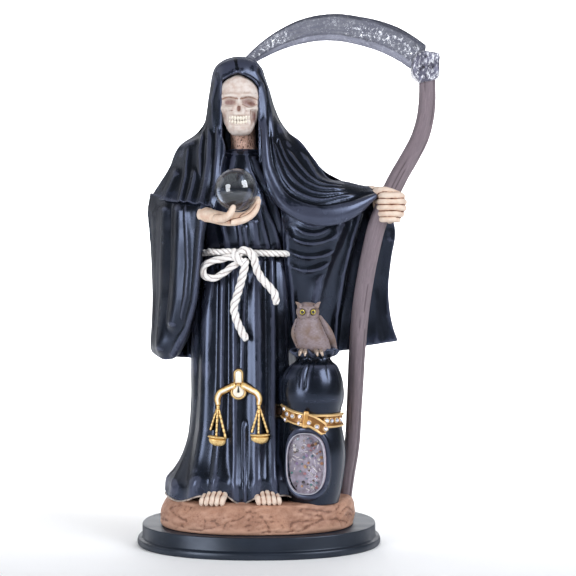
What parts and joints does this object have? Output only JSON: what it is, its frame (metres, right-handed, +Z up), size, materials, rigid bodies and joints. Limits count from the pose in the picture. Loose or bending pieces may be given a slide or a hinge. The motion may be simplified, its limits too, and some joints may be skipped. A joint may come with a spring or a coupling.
{
  "type": "santa muerte statue",
  "caption": "Robed skeleton folk statue in painted resin, with a glass ball, a scythe, hanging scales and a sack with a clear window and an owl on top, standing on a moulded oval board.",
  "frame": {"origin": "the middle of the oval board's underside, which stands on the floor", "axes": "+Z up, the figure faces -Y, +X is on the right seen from the front, where the scythe is"},
  "size_m": [0.219, 0.1416, 0.3867],
  "materials": {
    "board": "black lacquer, satin",
    "robe": "cast resin, glossy black paint with slate highlights",
    "bone": "cast resin painted as old bone with a brown wash: skull, neck, hands and toes",
    "rope": "cast resin painted as off-white cord",
    "gold": "gold paint: scales, belt and the stones' settings",
    "earth": "cast resin painted as red earth",
    "owl": "cast resin painted in mauve greys and browns",
    "handle": "cast resin painted as old wood",
    "blade": "cast resin painted as worn steel, with silver dry brushing",
    "ball": "clear polished glass",
    "window": "clear cast resin dome over beads and charms",
    "stone": "cut clear stone with a foil back"
  },
  "bodies": {
    "root": {"wood_base": "board", "statue": "robe", "scythe_handle": "handle", "scythe_blade": "blade", "crystal_ball": "ball", "sack_window": "window", "rhinestone_01": "stone", "rhinestone_02": "stone", "rhinestone_03": "stone", "rhinestone_04": "stone", "rhinestone_05": "stone", "rhinestone_06": "stone", "rhinestone_07": "stone", "rhinestone_08": "stone", "rhinestone_09": "stone", "rhinestone_10": "stone", "rhinestone_11": "stone", "rhinestone_12": "stone", "rhinestone_13": "stone"}
  },
  "joints": []
}
